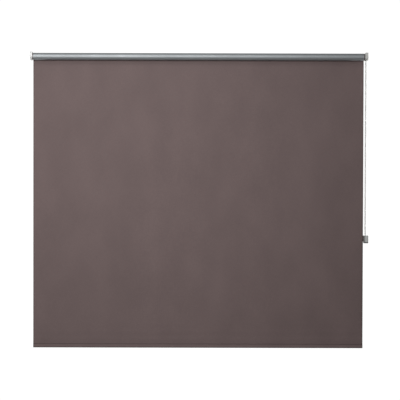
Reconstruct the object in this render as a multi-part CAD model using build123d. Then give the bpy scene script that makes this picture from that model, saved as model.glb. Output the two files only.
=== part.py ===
from build123d import *
import math
import os

os.makedirs("parts", exist_ok=True)

# A chain-operated roller blind, lowered. Millimetres.
# Origin: on the wall, midway between the brackets, at the height of the tube's axis.
# +X towards the chain side as seen from the room, +Y into the wall, +Z up.

# --- whole blind ---
HALF_WIDTH = 900.0  # outer faces of the bracket covers
DROP = 1576.0  # top of the roll to the bottom of the hem
AXIS_Y = -36.0  # tube axis, off the wall
FABRIC_LEFT = -886.5
FABRIC_RIGHT = 880.3
CLOTH = 0.35  # thickness of the fabric

# --- brackets and covers ---
SHEET_STEEL = 2.0
PLATE_X = 896.0  # inner face of each side plate
PLATE_R = 18.9  # side plate's edge round the tube axis
PLATE_TOP = 23.0
UNDERSIDE_RISE = 8.5  # degrees by which plates and covers rise from the tube to the wall
FLANGE_X = 887.4  # inner edge of the wall and ceiling flanges
CEILING_FLANGE_FRONT = -50.0
SCREW_X = 892.0
SCREW_R = 2.25
WALL_SCREW_Z = 9.5  # above and below the tube axis
CEILING_SCREW_Y = (-14.0, -38.0)
COVER_WALL = 1.4
COVER_R = 20.6  # outside of the covers round the tube axis
COVER_TOP = 22.6
IDLE_COVER_X = 887.4  # inner edge of the slim cover
CONTROL_COVER_X = 883.5  # inner edge of the wider cover
COVER_CORNER = 5.0
COVER_EDGE = 2.5
HOOK_Y = -11.0  # snap hooks that hold the covers behind the side plates
HOOK_Z = 12.0
HOOK_HALF = 4.0
HOOK_THICK = 1.0
HOOK_REACH = 2.0
SNUG = 0.1  # gap between parts that are pushed together

# --- roller ---
TUBE_R = 17.5
TUBE_WALL = 1.2
TUBE_LEFT = -886.8
TUBE_RIGHT = 880.3
ROLL_R = 18.7  # outside of the wound fabric at rest
FLANGE_R = 18.5
PLUG_R = 16.2
KEY_DEPTH = 4.6  # keyway that holds the fabric strip, measured from the tube's outside
KEY_HALF = 4.2
KEY_GAP = 0.3
STRIP_HALF = 3.0
MOUTH_HALF = 1.5

# --- idle end ---
PLUG_FACE = -891.0
PLUG_SHOULDER = -887.0
PLUG_END = -851.0
PIN_R = 3.0
PIN_TIP = -897.8
PIN_TAIL = -857.0
PIN_TIP_ROUND = 1.0
COLLAR_R = 4.9
COLLAR_X = -880.7
COLLAR_WIDE = 2.0
CHAMBER_R = 5.4
CHAMBER_X = -881.0
SEAT_X = -855.0
PIN_SPRING_R = 4.2
PIN_SPRING_WIRE_R = 0.45
PIN_SPRING_TURNS = 8
SPRING_GAP = 0.5
BUSH_R = 5.0
BUSH_FLANGE_R = 7.5
BUSH_FLANGE = 1.5
RUNNING = 0.05  # radial clearance of a shaft in its bearing

# --- clutch and chain ---
CHAIN_X = 889.0
BEAD_R = 2.25
PITCH_R = 11.46  # twelve beads at 6 mm
GROOVE_R = 2.6
CHAIN_GAP = 1.2  # room beside the chain where it passes through a slot
WHEEL_R = 13.0
WHEEL_HALF = 3.8
WHEEL_CHAMFER = 0.6
WHEEL_Z = -966.0  # centre of the tensioner's wheel
POST_R = 6.0
POST_TIP_R = 5.0
POST_SHOULDER = 846.3
POST_END = 838.0
HUB_FACE = 893.4
HUB_FLANGE_R = 16.5
KEY_SIDE = 12.0  # square key that stops the hub turning in the bracket
CROWN_FACE = 882.6
CROWN_SHOULDER = 880.5
CROWN_END = 842.0
CROWN_BORE = 9.0
CORE_R = 8.7
CORE_BORE = 7.9
CORE_END = 850.0
BRAKE_SPRING_X = (855.0, 868.0)
BRAKE_WIRE_R = 0.6
BRAKE_TURNS = 6
BRAKE_PITCH = 1.35
BRAKE_GAP = 0.3
GUARD_R = 18.4
GUARD_WALL = 1.8
GUARD_FACE = 883.6
GUARD_WEB = 1.0
CLIP_X = 840.6
CLIP_THICK = 1.0
CLIP_R = 7.5
CLIP_GROOVE = 0.8
CLIP_MOUTH_HALF = 3.4

# --- hem ---
POCKET_TALL = 24.0
POCKET_HALF = 2.9
POCKET_STRAIGHT = 18.0
SEAM_HALF = 0.45
BAR_TALL = 18.0
BAR_THICK = 4.0
BAR_WALL = 0.9
BAR_SHORT = 2.5  # the bar ends this far inside the fabric's edges
CAP_TONGUE = 8.0
CAP_LIP = 0.2
CAP_RECESS = 0.4

# --- tensioner ---
HOUSING_X = (881.0, 901.2)
COVER_FACE = 903.6  # outer face of the tensioner's cover
HOUSING_Y = (-53.0, -19.0)
HOUSING_Z = (-992.0, -951.0)
HOUSING_WALL = 2.0
HOUSING_CORNER = 5.0
HOUSING_EDGE = 1.5
DRAIN_Y = (-46.0, -27.0)  # opening in the floor of the housing
DRAIN_X = 897.0
NOTCH_X = 887.0  # deeper notch at the side of the housing that faces the fabric
NOTCH_TALL = 5.0
BASE_X = (865.0, 899.0)
BASE_THICK = 3.0
BASE_Z = (-985.0, -953.0)
BASE_HOLE_X = 872.0
BASE_HOLE_SPACING = 18.0
BASE_CORNER = 4.0
ARM_X = (884.0, 897.0)
ARM_HALF = 13.0
ARM_CORNER = 2.0
AXLE_R = 2.0
HUB_BOSS_R = 4.0
COVER_GAP = 0.1
LID_EDGE = 0.8  # rounding of the cover's outer edge
BOSS_REACH = 0.6  # how far the hub bosses run into the housing and the cover
SCREW_BOSS_R = 2.2
SCREW_SHANK_R = 1.0
SCREW_SHANK = 9.0
SCREW_HEAD_R = 1.95
SCREW_HEAD = 0.9
SCREW_SLOT = (0.5, 2.8, 0.6)

PANEL_BACK = AXIS_Y + ROLL_R + 0.3 + CLOTH
HEM_BOTTOM = ROLL_R - DROP
POCKET_TOP = HEM_BOTTOM + POCKET_TALL
POCKET_Y = PANEL_BACK - CLOTH / 2


def block(xs, ys, zs):
    """A box between two values along each axis."""
    size = [abs(b - a) for a, b in (xs, ys, zs)]
    middle = [(a + b) / 2 for a, b in (xs, ys, zs)]
    return Pos(*middle) * Box(*size)


def rod(radius, x_from, x_to, z=0.0):
    """A round bar along X, on the tube axis unless a height is given."""
    length = abs(x_to - x_from)
    return Pos((x_from + x_to) / 2, AXIS_Y, z) * Rot(0, 90, 0) * Cylinder(radius, length)


def pipe(outer, inner, x_from, x_to, z=0.0):
    """A round sleeve along X."""
    return rod(outer, x_from, x_to, z) - rod(inner, min(x_from, x_to) - 1, max(x_from, x_to) + 1, z)


def prism(outline, x_from, x_to):
    """A face drawn in Y and Z, pushed along X."""
    return extrude(Plane.YZ.offset(x_from) * outline, x_to - x_from)


def coil(radius, wire, x_from, x_to, turns):
    """A round wire spring along the tube axis."""
    path = Helix((x_to - x_from) / turns, x_to - x_from, radius)
    start = Plane(path @ 0, z_dir=path % 0)
    spring = sweep(start * Circle(wire), path)
    return Pos(x_from, AXIS_Y, 0) * Rot(0, 90, 0) * spring


def underside(y, radius):
    """Height of the rising underside of a plate or cover with a radius, at a distance from the wall."""
    rise = math.radians(UNDERSIDE_RISE)
    return (y - AXIS_Y) * math.tan(rise) - radius / math.cos(rise)


def side_view(radius, top, x_from, x_to):
    """A plate with a bracket's side view: round below the tube axis, upright in front, flat on the wall."""
    rise = math.radians(UNDERSIDE_RISE)
    front = AXIS_Y - radius
    low = (AXIS_Y + radius * math.sin(rise), -radius * math.cos(rise))
    halfway = math.radians(225) + rise / 2
    arc = ThreePointArc((front, 0), (AXIS_Y + radius * math.cos(halfway), radius * math.sin(halfway)), low)
    straight = Polyline(low, (0, underside(0, radius)), (0, top), (front, top), (front, 0))
    plate = prism(make_face([arc, straight]), *sorted((x_from, x_to)))
    return fillet(plate.edges().filter_by(Axis.X).group_by(Axis.Z)[-1].sort_by(Axis.Y)[0], COVER_CORNER)


def bracket(side, opening):
    """A folded steel bracket: side plate, wall flange and ceiling flange."""
    outer = side * (PLATE_X + SHEET_STEEL)
    plate = side_view(PLATE_R, PLATE_TOP, side * PLATE_X, outer)
    wall = block((side * FLANGE_X, outer), (-SHEET_STEEL, 0), (underside(0, PLATE_R), PLATE_TOP))
    top = block((side * FLANGE_X, outer), (CEILING_FLANGE_FRONT, 0), (PLATE_TOP - SHEET_STEEL, PLATE_TOP))
    body = plate + wall + top
    for z in (-WALL_SCREW_Z, WALL_SCREW_Z):
        body -= Pos(side * SCREW_X, 0, z) * Rot(90, 0, 0) * Cylinder(SCREW_R, 4 * SHEET_STEEL)
    for y in CEILING_SCREW_Y:
        body -= Pos(side * SCREW_X, y, PLATE_TOP) * Cylinder(SCREW_R, 4 * SHEET_STEEL)
    return body - opening


def cover(side, inner_x):
    """A moulded cover over a bracket, open at the back, the top and the tube's side."""
    shell = side_view(COVER_R, COVER_TOP, side * inner_x, side * HALF_WIDTH)
    rim = shell.faces().sort_by(Axis.X)[-1 if side > 0 else 0].edges()
    shell = fillet([e for e in rim if e.center().Y < -1 and e.center().Z < COVER_TOP - 1], COVER_EDGE)
    room_x = (side * (inner_x - 1), side * (HALF_WIDTH - COVER_WALL))
    shell -= side_view(COVER_R - COVER_WALL, COVER_TOP + 10, *room_x)
    behind = PLATE_X - 3 * SNUG
    hook_x = (side * behind, side * (behind - HOOK_THICK))
    floor = underside(HOOK_Y, COVER_R - COVER_WALL)
    front = AXIS_Y - COVER_R + COVER_WALL
    low_hook = block(hook_x, (HOOK_Y - HOOK_HALF, HOOK_Y + HOOK_HALF), (floor - 8 * SNUG, floor + HOOK_REACH))
    front_hook = block(hook_x, (front - SNUG, front + HOOK_REACH), (HOOK_Z - HOOK_HALF, HOOK_Z + HOOK_HALF))
    return shell + low_hook + front_hook


def control_cover():
    """The wider cover, with a slot in its floor for both strands of the chain."""
    reach = PITCH_R + BEAD_R + CHAIN_GAP
    slot = block(
        (CONTROL_COVER_X - 1, CHAIN_X + BEAD_R + CHAIN_GAP),
        (AXIS_Y - reach, AXIS_Y + reach),
        (-COVER_R - 1, -COVER_R / 2),
    )
    return cover(1, CONTROL_COVER_X) - slot


def keyway(x_from, x_to):
    """The room that a plug leaves for the tube's inner channel."""
    half = KEY_HALF + KEY_GAP
    top = KEY_DEPTH + KEY_GAP - TUBE_R
    return block((x_from, x_to), (AXIS_Y - half, AXIS_Y + half), (-TUBE_R - 1, top))


def roller_tube():
    """The extruded tube, with an inward channel for the fabric strip."""
    outer = Pos(AXIS_Y, 0) * Circle(TUBE_R)
    inner = Pos(AXIS_Y, 0) * Circle(TUBE_R - TUBE_WALL)
    channel = Pos(AXIS_Y, KEY_DEPTH / 2 - TUBE_R) * Rectangle(2 * KEY_HALF, KEY_DEPTH)
    section = (outer - inner) + (channel & outer)
    groove_tall = KEY_DEPTH - 2 * TUBE_WALL
    section -= Pos(AXIS_Y, TUBE_WALL + groove_tall / 2 - TUBE_R) * Rectangle(2 * STRIP_HALF, groove_tall)
    section -= Pos(AXIS_Y, -TUBE_R) * Rectangle(2 * MOUTH_HALF, 2.2 * TUBE_WALL)
    return prism(section, TUBE_LEFT, TUBE_RIGHT)


def fabric_strip():
    """The strip that locks the fabric's end in the tube's channel."""
    gap = 2 * SNUG
    half = STRIP_HALF - gap
    low = TUBE_WALL + gap - TUBE_R
    high = KEY_DEPTH - TUBE_WALL - gap - TUBE_R
    return block((FABRIC_LEFT, FABRIC_RIGHT), (AXIS_Y - half, AXIS_Y + half), (low, high))


def fabric_panel():
    """The sheet that hangs off the back of the roll, down to the hem's seam."""
    ys = (PANEL_BACK - CLOTH, PANEL_BACK)
    return block((FABRIC_LEFT, FABRIC_RIGHT), ys, (POCKET_TOP + 3 * SNUG, 0))


def idle_plug():
    """The plug in the tube's free end, bored for the pin and its spring."""
    body = rod(FLANGE_R, PLUG_FACE, PLUG_SHOULDER) + rod(PLUG_R, PLUG_SHOULDER, PLUG_END)
    body -= keyway(PLUG_SHOULDER, PLUG_END + 1)
    body -= rod(PIN_R + RUNNING, PLUG_FACE - 1, CHAMBER_X)
    return body - rod(CHAMBER_R, CHAMBER_X, PLUG_END + 1)


def idle_pin():
    """The steel pin with its collar, rounded at the tip."""
    shaft = rod(PIN_R, PIN_TIP, PIN_TAIL)
    shaft = fillet(shaft.edges().sort_by(Axis.X)[0], PIN_TIP_ROUND)
    return shaft + rod(COLLAR_R, COLLAR_X, COLLAR_X + COLLAR_WIDE)


def idle_pin_bush():
    """The bearing bush in the idle bracket's side plate."""
    body = rod(BUSH_R, -PLATE_X - SHEET_STEEL, -PLATE_X)
    body += rod(BUSH_FLANGE_R, -PLATE_X, -PLATE_X + BUSH_FLANGE)
    return body - rod(PIN_R + RUNNING, -PLATE_X - 5, -PLATE_X + 5)


def wheel_body(z):
    """A chain wheel's rim with its round groove, without a bore."""
    rim = rod(WHEEL_R, CHAIN_X - WHEEL_HALF, CHAIN_X + WHEEL_HALF, z)
    rim = chamfer(rim.edges().filter_by(GeomType.CIRCLE), WHEEL_CHAMFER)
    groove = Pos(CHAIN_X, AXIS_Y, z) * Rot(0, 90, 0) * Torus(PITCH_R, GROOVE_R)
    mouth = pipe(WHEEL_R + 1, PITCH_R, CHAIN_X - GROOVE_R, CHAIN_X + GROOVE_R, z)
    return rim - groove - mouth


def chain_sprocket():
    """The chain wheel with the core that turns the brake springs and the crown."""
    inner = CHAIN_X - WHEEL_HALF
    body = wheel_body(0) + rod(CORE_R, CORE_END, inner + 1)
    body -= rod(CORE_BORE, CORE_END - 1, inner)
    return body - rod(POST_R + RUNNING, inner - 1, CHAIN_X + WHEEL_HALF + 1)


def clutch_hub():
    """The fixed post on the control bracket, keyed into its side plate."""
    body = rod(HUB_FLANGE_R, HUB_FACE, PLATE_X - SNUG)
    half = KEY_SIDE / 2
    body += block((PLATE_X - 1, PLATE_X + SHEET_STEEL), (AXIS_Y - half, AXIS_Y + half), (-half, half))
    body += rod(POST_R, POST_SHOULDER, HUB_FACE + 1)
    body += rod(POST_TIP_R, POST_END, POST_SHOULDER + 1)
    return body - pipe(POST_TIP_R + 1, POST_TIP_R - CLIP_GROOVE, CLIP_X - SNUG, CLIP_X + CLIP_THICK + SNUG)


def clutch_crown():
    """The sleeve that turns the tube, running on the post's tip."""
    body = rod(FLANGE_R, CROWN_SHOULDER, CROWN_FACE) + rod(PLUG_R, CROWN_END, CROWN_SHOULDER)
    body -= keyway(CROWN_END - 1, CROWN_SHOULDER)
    body -= rod(CROWN_BORE, POST_SHOULDER, CROWN_FACE + 1)
    return body - rod(POST_TIP_R + RUNNING, CROWN_END - 1, POST_SHOULDER)


def clutch_brake_springs():
    """Two wrap springs round the post."""
    mean = POST_R + BRAKE_GAP + BRAKE_WIRE_R
    length = BRAKE_TURNS * BRAKE_PITCH
    return Compound([coil(mean, BRAKE_WIRE_R, x, x + length, BRAKE_TURNS) for x in BRAKE_SPRING_X])


def chain_guard():
    """The housing round the sprocket, slotted below for the two strands."""
    body = pipe(GUARD_R, GUARD_R - GUARD_WALL, GUARD_FACE, PLATE_X - SNUG)
    body += pipe(GUARD_R - GUARD_WALL / 2, CORE_R + 0.7, GUARD_FACE, GUARD_FACE + GUARD_WEB)
    half = BEAD_R + CHAIN_GAP
    for y in (AXIS_Y - PITCH_R, AXIS_Y + PITCH_R):
        body -= block((GUARD_FACE + GUARD_WEB, PLATE_X + 1), (y - half, y + half), (-GUARD_R - 1, 0))
    return body


def bead_chain():
    """The endless chain as a plain tube: two straight strands and a half turn round each wheel."""
    body = None
    for y in (AXIS_Y - PITCH_R, AXIS_Y + PITCH_R):
        strand = Pos(CHAIN_X, y, WHEEL_Z / 2) * Cylinder(BEAD_R, -WHEEL_Z)
        body = strand if body is None else body + strand
    for z, turn in ((0.0, 0.0), (WHEEL_Z, 180.0)):
        section = Pos(CHAIN_X, AXIS_Y + PITCH_R, z) * Circle(BEAD_R)
        bend = revolve(section, Axis((CHAIN_X, AXIS_Y, z), (1, 0, 0)), 180 if turn == 0 else -180)
        body += bend
    return body


def pocket_outline(inset):
    """The hem pocket's section: round below, straight sides, drawn in to the seam."""
    half = POCKET_HALF - inset
    low = HEM_BOTTOM + POCKET_HALF
    side_top = HEM_BOTTOM + POCKET_STRAIGHT
    seam = max(SEAM_HALF - inset, 0.1)
    top = POCKET_TOP - 4 * inset
    edges = [
        ThreePointArc((POCKET_Y - half, low), (POCKET_Y, low - half), (POCKET_Y + half, low)),
        Polyline(
            (POCKET_Y + half, low),
            (POCKET_Y + half, side_top),
            (POCKET_Y + seam, top),
            (POCKET_Y - seam, top),
            (POCKET_Y - half, side_top),
            (POCKET_Y - half, low),
        ),
    ]
    return make_face(edges)


def hem_pocket():
    """The fabric sleeve along the bottom edge."""
    return prism(pocket_outline(0) - pocket_outline(CLOTH), FABRIC_LEFT, FABRIC_RIGHT)


def bar_outline(inset):
    """The flat oval of the hem bar, standing on edge."""
    z = HEM_BOTTOM + CLOTH + 3 * SNUG + BAR_TALL / 2
    return Pos(POCKET_Y, z) * SlotOverall(BAR_TALL - 2 * inset, BAR_THICK - 2 * inset, 90)


def hem_bar():
    """The hollow bar that weights the hem."""
    return prism(bar_outline(0) - bar_outline(BAR_WALL), FABRIC_LEFT + BAR_SHORT, FABRIC_RIGHT - BAR_SHORT)


def hem_end_cap(side):
    """A cap on one end of the hem bar, with a tongue inside it."""
    end = FABRIC_LEFT + BAR_SHORT if side < 0 else FABRIC_RIGHT - BAR_SHORT
    plate = prism(bar_outline(-CAP_LIP), *sorted((end, end + side * (BAR_SHORT - CAP_RECESS))))
    return plate + prism(bar_outline(BAR_WALL + SNUG), *sorted((end - side * CAP_TONGUE, end + side)))


def tensioner_base():
    """The wall plate with its ear and the arm that carries the housing."""
    plate = block(BASE_X, (-BASE_THICK, 0), BASE_Z)
    plate = fillet(plate.edges().filter_by(Axis.Y), BASE_CORNER)
    middle = sum(BASE_Z) / 2
    arm = block(ARM_X, (HOUSING_Y[1], -BASE_THICK / 2), (middle - ARM_HALF, middle + ARM_HALF))
    body = plate + fillet(arm.edges().filter_by(Axis.Y), ARM_CORNER)
    for dz in (-BASE_HOLE_SPACING / 2, BASE_HOLE_SPACING / 2):
        body -= Pos(BASE_HOLE_X, 0, middle + dz) * Rot(90, 0, 0) * Cylinder(SCREW_R, 4 * BASE_THICK)
    return body


def cover_screw_places():
    """Y and Z of the two screws that hold the tensioner's cover."""
    inset = HOUSING_WALL + 0.7 * SCREW_BOSS_R
    return [(y, HOUSING_Z[0] + inset + 1) for y in (HOUSING_Y[0] + inset, HOUSING_Y[1] - inset)]


def tensioner_housing():
    """The open box round the tensioner's wheel, slotted above and below."""
    shell = block(HOUSING_X, HOUSING_Y, HOUSING_Z)
    shell = fillet(shell.edges().filter_by(Axis.X), HOUSING_CORNER)
    face = shell.faces().sort_by(Axis.X)[0]
    shell = fillet(face.edges(), HOUSING_EDGE)
    ys = (HOUSING_Y[0] + HOUSING_WALL, HOUSING_Y[1] - HOUSING_WALL)
    zs = (HOUSING_Z[0] + HOUSING_WALL, HOUSING_Z[1] - HOUSING_WALL)
    room = block((HOUSING_X[0] + HOUSING_WALL, HOUSING_X[1] + 1), ys, zs)
    shell -= fillet(room.edges().filter_by(Axis.X), HOUSING_CORNER - HOUSING_WALL)
    deep = HOUSING_X[1] - HOUSING_X[0] - 1
    for y, z in cover_screw_places():
        end = Pos(HOUSING_X[1], y, z) * Rot(0, 90, 0)
        shell += end * Pos(0, 0, -deep / 2) * Cylinder(SCREW_BOSS_R, deep)
        shell -= end * Pos(0, 0, -SCREW_SHANK / 2) * Cylinder(SCREW_SHANK_R + RUNNING, SCREW_SHANK + SNUG)
    half = BEAD_R + CHAIN_GAP
    slot_z = (HOUSING_Z[1] - HOUSING_WALL - 1, HOUSING_Z[1] + 1)
    for y in (AXIS_Y - PITCH_R, AXIS_Y + PITCH_R):
        shell -= block((CHAIN_X - half, HOUSING_X[1] + 1), (y - half, y + half), slot_z)
    low = HOUSING_Z[0] - 1
    shell -= block((HOUSING_X[0] - 1, NOTCH_X), DRAIN_Y, (low, HOUSING_Z[0] + NOTCH_TALL))
    shell -= block((HOUSING_X[0] - 1, DRAIN_X), DRAIN_Y, (low, HOUSING_Z[0] + HOUSING_WALL + 1))
    shell += rod(HUB_BOSS_R, HOUSING_X[0] + 1, CHAIN_X - WHEEL_HALF - 4 * SNUG, WHEEL_Z)
    return shell - rod(AXLE_R, HOUSING_X[0] - 1, CHAIN_X, WHEEL_Z)


def tensioner_cover():
    """The side cover of the tensioner, held by two screws."""
    plate = block((HOUSING_X[1] + COVER_GAP, COVER_FACE), HOUSING_Y, HOUSING_Z)
    plate = fillet(plate.edges().filter_by(Axis.X), HOUSING_CORNER)
    face = plate.faces().sort_by(Axis.X)[-1]
    plate = fillet(face.edges(), LID_EDGE)
    for y, z in cover_screw_places():
        hole = Pos(COVER_FACE, y, z) * Rot(0, 90, 0)
        plate -= hole * Cylinder(SCREW_SHANK_R + SNUG, 10)
        plate -= hole * Cylinder(SCREW_HEAD_R + SNUG, 2 * (SCREW_HEAD + SNUG))
    plate += rod(HUB_BOSS_R, CHAIN_X + WHEEL_HALF + 4 * SNUG, HOUSING_X[1] + BOSS_REACH, WHEEL_Z)
    return plate - rod(AXLE_R, CHAIN_X, HOUSING_X[1] + BOSS_REACH, WHEEL_Z)


def tensioner_cover_screws():
    """The two small screws of the tensioner's cover."""
    screws = []
    for y, z in cover_screw_places():
        under_head = Pos(COVER_FACE - SCREW_HEAD - SNUG, y, z) * Rot(0, 90, 0)
        head = under_head * Pos(0, 0, SCREW_HEAD / 2) * Cylinder(SCREW_HEAD_R, SCREW_HEAD)
        shank = under_head * Pos(0, 0, -SCREW_SHANK / 2) * Cylinder(SCREW_SHANK_R, SCREW_SHANK)
        screws.append(head + shank - under_head * Pos(0, 0, SCREW_HEAD) * Box(*SCREW_SLOT))
    return Compound(screws)


def tensioner_wheel():
    """The idler wheel at the bottom of the chain."""
    return wheel_body(WHEEL_Z) - rod(AXLE_R + RUNNING, CHAIN_X - 10, CHAIN_X + 10, WHEEL_Z)


def control_bracket():
    """The bracket that holds the clutch by a square opening."""
    half = KEY_SIDE / 2 + SNUG
    opening = block((PLATE_X - 1, PLATE_X + 4), (AXIS_Y - half, AXIS_Y + half), (-half, half))
    return bracket(1, opening)


def idle_pin_spring():
    """The spring that pushes the pin out, between its collar and the seat."""
    start = COLLAR_X + COLLAR_WIDE + SPRING_GAP
    return coil(PIN_SPRING_R, PIN_SPRING_WIRE_R, start, SEAT_X - SPRING_GAP, PIN_SPRING_TURNS)


def clutch_retaining_clip():
    """The open ring that keeps the crown on the post."""
    ring = pipe(CLIP_R, POST_TIP_R - CLIP_GROOVE + SNUG, CLIP_X, CLIP_X + CLIP_THICK)
    mouth = (AXIS_Y - CLIP_MOUTH_HALF, AXIS_Y + CLIP_MOUTH_HALF)
    return ring - block((CLIP_X - 1, CLIP_X + CLIP_THICK + 1), mouth, (-CLIP_R - 1, 0))


def build():
    """Every piece of the blind, by name."""
    return {
        "idle_bracket": bracket(-1, rod(BUSH_R + RUNNING, -PLATE_X - 4, -PLATE_X + 1)),
        "idle_bracket_cover": cover(-1, IDLE_COVER_X),
        "idle_pin_bush": idle_pin_bush(),
        "idle_plug": idle_plug(),
        "idle_pin": idle_pin(),
        "idle_pin_spring": idle_pin_spring(),
        "idle_spring_seat": pipe(CHAMBER_R - 0.05, PIN_R + 0.3, SEAT_X, PLUG_END),
        "roller_tube": roller_tube(),
        "fabric_strip": fabric_strip(),
        "wound_fabric": pipe(ROLL_R, TUBE_R + 0.05, FABRIC_LEFT, FABRIC_RIGHT),
        "fabric_panel": fabric_panel(),
        "hem_pocket": hem_pocket(),
        "hem_bar": hem_bar(),
        "hem_end_cap_left": hem_end_cap(-1),
        "hem_end_cap_right": hem_end_cap(1),
        "control_bracket": control_bracket(),
        "control_bracket_cover": control_cover(),
        "clutch_hub": clutch_hub(),
        "clutch_brake_springs": clutch_brake_springs(),
        "clutch_crown": clutch_crown(),
        "clutch_retaining_clip": clutch_retaining_clip(),
        "chain_sprocket": chain_sprocket(),
        "chain_guard": chain_guard(),
        "bead_chain": bead_chain(),
        "tensioner_base": tensioner_base(),
        "tensioner_housing": tensioner_housing(),
        "tensioner_cover": tensioner_cover(),
        "tensioner_cover_screws": tensioner_cover_screws(),
        "tensioner_wheel": tensioner_wheel(),
        "tensioner_axle": rod(AXLE_R, HOUSING_X[0] + 0.2, HOUSING_X[1] + 0.4, WHEEL_Z),
    }


for name, shape in build().items():
    export_step(shape, f"parts/{name}.step")
loop = -2 * WHEEL_Z + 2 * math.pi * PITCH_R
print(f"chain loop {loop:.1f} mm, arcs of {PITCH_R} mm")
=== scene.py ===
import logging
import math
from collections.abc import Callable, Sequence
from dataclasses import dataclass
from enum import Enum

import bpy
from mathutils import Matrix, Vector, noise


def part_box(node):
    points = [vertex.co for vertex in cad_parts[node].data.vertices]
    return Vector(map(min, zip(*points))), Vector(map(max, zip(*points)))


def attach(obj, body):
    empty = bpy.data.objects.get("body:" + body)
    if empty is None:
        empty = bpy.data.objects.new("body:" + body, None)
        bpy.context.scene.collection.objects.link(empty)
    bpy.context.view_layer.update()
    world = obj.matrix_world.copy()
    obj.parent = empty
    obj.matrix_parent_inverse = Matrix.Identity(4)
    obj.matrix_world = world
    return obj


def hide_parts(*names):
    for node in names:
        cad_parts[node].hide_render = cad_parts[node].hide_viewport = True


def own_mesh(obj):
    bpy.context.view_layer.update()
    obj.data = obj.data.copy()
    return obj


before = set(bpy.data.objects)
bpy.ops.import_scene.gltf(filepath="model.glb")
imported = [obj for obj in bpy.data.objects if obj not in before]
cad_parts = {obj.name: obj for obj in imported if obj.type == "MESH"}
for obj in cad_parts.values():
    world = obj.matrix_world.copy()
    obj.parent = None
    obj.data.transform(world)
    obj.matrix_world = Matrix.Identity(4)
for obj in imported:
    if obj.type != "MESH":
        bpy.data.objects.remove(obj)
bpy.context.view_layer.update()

LOG = logging.getLogger("roller_blind")
MM = 0.001
CLOTH_THICK = 0.35 * MM
NOISE_REACH = (0.3, 0.7)
TONE_REACH = (0.5, 1.5)
WAVE_UNITS = 20.0  # a wave texture of scale 1 has this many radians to the metre

Colour = tuple[float, float, float]
Spot = tuple[float, float, float]
Socket = bpy.types.NodeSocket


class Body(str, Enum):
    """The moving groups of the blind."""

    FIXED = "root"
    ROLLER = "roller"
    PIN = "pin"
    HEM = "hem"
    IDLER = "idler"


class Place(str, Enum):
    """Where a finish reads its position from."""

    PIECE = "piece"
    CLOTH = "cloth"


class Grain(Enum):
    """The direction in which a metal part was drawn or turned."""

    ALONG_X = (0.02, 1.0, 1.0)
    AROUND_X = (1.0, 0.05, 0.05)


# ------------------------------------------------------------------ finishes


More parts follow.
